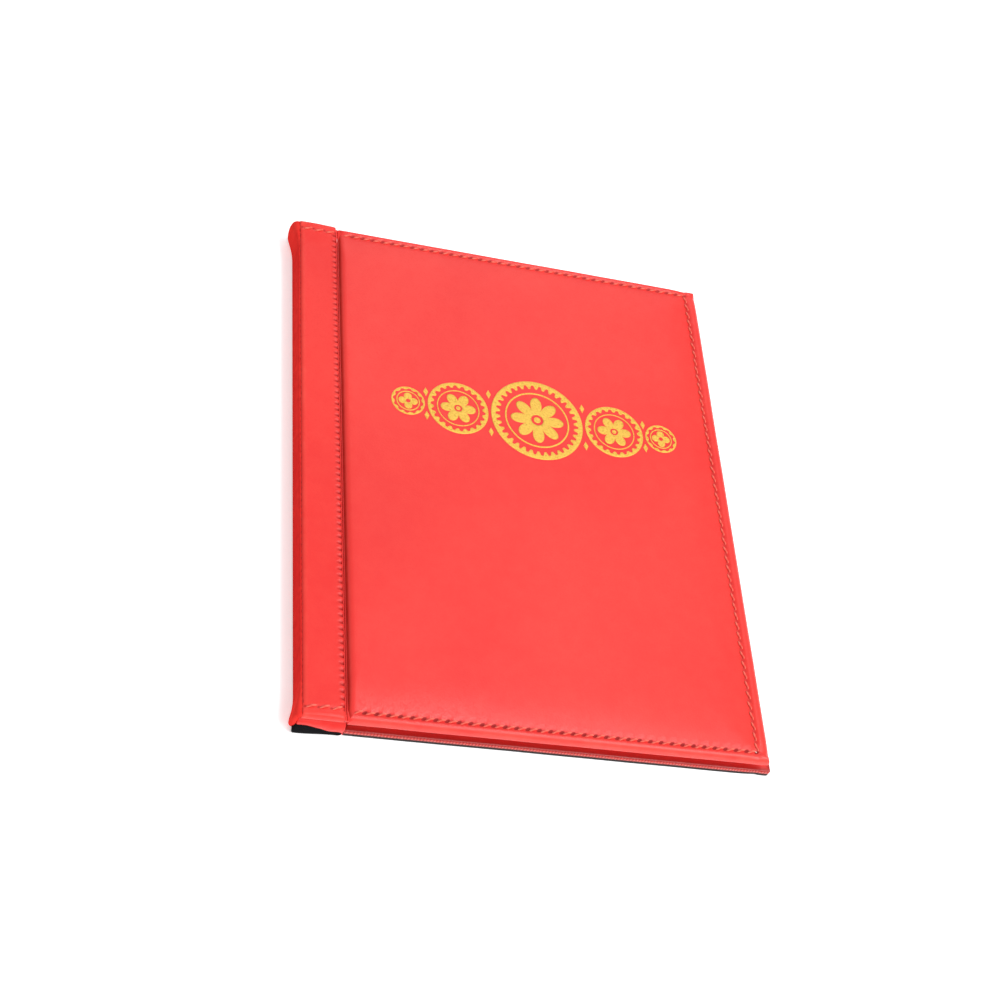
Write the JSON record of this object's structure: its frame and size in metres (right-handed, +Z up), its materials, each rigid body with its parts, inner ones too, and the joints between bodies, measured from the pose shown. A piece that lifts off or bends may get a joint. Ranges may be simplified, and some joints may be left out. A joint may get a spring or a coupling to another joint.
{
  "type": "coin album",
  "caption": "Slim coin album with padded leatherette covers, a stitched binding strip along the spine, a gilt emblem and clear pocket leaves that turn on the seam.",
  "frame": {"origin": "middle of the closed album's footprint, on the surface that its back cover lies on", "axes": "+X from the spine to the fore edge, +Y from the foot to the head, +Z up through the front cover"},
  "size_m": [0.1592, 0.2, 0.0108],
  "materials": {
    "red_leatherette": "smooth satin leatherette with a fine grain",
    "red_thread": "twisted polyester thread",
    "gold_foil": "pressed gilt with a soft shine",
    "foam_padding": "open cell foam sheet",
    "binder_board": "dense black binder's board",
    "black_lining": "matt woven lining",
    "post_steel": "nickelled steel",
    "clear_film": "clear soft film, slightly rippled"
  },
  "bodies": {
    "binding": {"front_strip_skin": "red_leatherette", "back_strip_skin": "red_leatherette", "spine_skin": "red_leatherette", "spine_stiffener": "binder_board", "spine_lining": "black_lining", "front_hinge_gusset": "red_leatherette", "back_hinge_gusset": "red_leatherette", "front_strip_board": "binder_board", "back_strip_board": "binder_board", "front_strip_lining": "black_lining", "back_strip_lining": "black_lining", "front_spacer": "binder_board", "back_spacer": "binder_board", "leaf_margins": "clear_film", "post_barrels": "post_steel", "post_screws": "post_steel", "front_seam_thread": "red_thread", "back_seam_thread": "red_thread", "front_strip_stitching": "red_thread", "back_strip_stitching": "red_thread", "spine_edge_stitching": "red_thread"},
    "front_cover": {"front_cover_skin": "red_leatherette", "front_cover_padding": "foam_padding", "front_cover_board": "binder_board", "front_cover_lining": "black_lining", "front_cover_stitching": "red_thread", "front_emblem_foil": "gold_foil"},
    "back_cover": {"back_cover_skin": "red_leatherette", "back_cover_padding": "foam_padding", "back_cover_board": "binder_board", "back_cover_lining": "black_lining", "back_cover_stitching": "red_thread"},
    "leaf_01": {"leaf_01_backing_film": "clear_film", "leaf_01_pocket_film": "clear_film"},
    "leaf_02": {"leaf_02_backing_film": "clear_film", "leaf_02_pocket_film": "clear_film"},
    "leaf_03": {"leaf_03_backing_film": "clear_film", "leaf_03_pocket_film": "clear_film"},
    "leaf_04": {"leaf_04_backing_film": "clear_film", "leaf_04_pocket_film": "clear_film"},
    "leaf_05": {"leaf_05_backing_film": "clear_film", "leaf_05_pocket_film": "clear_film"},
    "leaf_06": {"leaf_06_backing_film": "clear_film", "leaf_06_pocket_film": "clear_film"},
    "leaf_07": {"leaf_07_backing_film": "clear_film", "leaf_07_pocket_film": "clear_film"},
    "leaf_08": {"leaf_08_backing_film": "clear_film", "leaf_08_pocket_film": "clear_film"},
    "leaf_09": {"leaf_09_backing_film": "clear_film", "leaf_09_pocket_film": "clear_film"},
    "leaf_10": {"leaf_10_backing_film": "clear_film", "leaf_10_pocket_film": "clear_film"}
  },
  "joints": [
    {"name": "leaf_10_hinge", "type": "hinge", "parent": "binding", "child": "leaf_10", "pos_m": [-0.0644, 0, 0.0109], "axis": [0, -1, 0], "range_deg": [0, 179.99]},
    {"name": "leaf_09_hinge", "type": "hinge", "parent": "leaf_10", "child": "leaf_09", "pos_m": [-0.0644, 0, 0.0109], "axis": [0, -1, 0], "range_deg": [0, 179.99]},
    {"name": "leaf_08_hinge", "type": "hinge", "parent": "leaf_09", "child": "leaf_08", "pos_m": [-0.0644, 0, 0.0109], "axis": [0, -1, 0], "range_deg": [0, 179.99]},
    {"name": "leaf_07_hinge", "type": "hinge", "parent": "leaf_08", "child": "leaf_07", "pos_m": [-0.0644, 0, 0.0109], "axis": [0, -1, 0], "range_deg": [0, 179.99]},
    {"name": "leaf_06_hinge", "type": "hinge", "parent": "leaf_07", "child": "leaf_06", "pos_m": [-0.0644, 0, 0.0109], "axis": [0, -1, 0], "range_deg": [0, 179.99]},
    {"name": "leaf_05_hinge", "type": "hinge", "parent": "leaf_06", "child": "leaf_05", "pos_m": [-0.0644, 0, 0.0109], "axis": [0, -1, 0], "range_deg": [0, 179.99]},
    {"name": "leaf_04_hinge", "type": "hinge", "parent": "leaf_05", "child": "leaf_04", "pos_m": [-0.0644, 0, 0.0109], "axis": [0, -1, 0], "range_deg": [0, 179.99]},
    {"name": "leaf_03_hinge", "type": "hinge", "parent": "leaf_04", "child": "leaf_03", "pos_m": [-0.0644, 0, 0.0109], "axis": [0, -1, 0], "range_deg": [0, 179.99]},
    {"name": "leaf_02_hinge", "type": "hinge", "parent": "leaf_03", "child": "leaf_02", "pos_m": [-0.0644, 0, 0.0109], "axis": [0, -1, 0], "range_deg": [0, 179.99]},
    {"name": "leaf_01_hinge", "type": "hinge", "parent": "leaf_02", "child": "leaf_01", "pos_m": [-0.0644, 0, 0.0109], "axis": [0, -1, 0], "range_deg": [0, 179.99]},
    {"name": "front_cover_hinge", "type": "hinge", "parent": "leaf_01", "child": "front_cover", "pos_m": [-0.0644, 0, 0.0109], "axis": [0, -1, 0], "range_deg": [0, 179.99]},
    {"name": "back_cover_hinge", "type": "hinge", "parent": "binding", "child": "back_cover", "pos_m": [-0.0644, 0, 0], "axis": [0, 1, 0], "range_deg": [0, 179.99]}
  ]
}
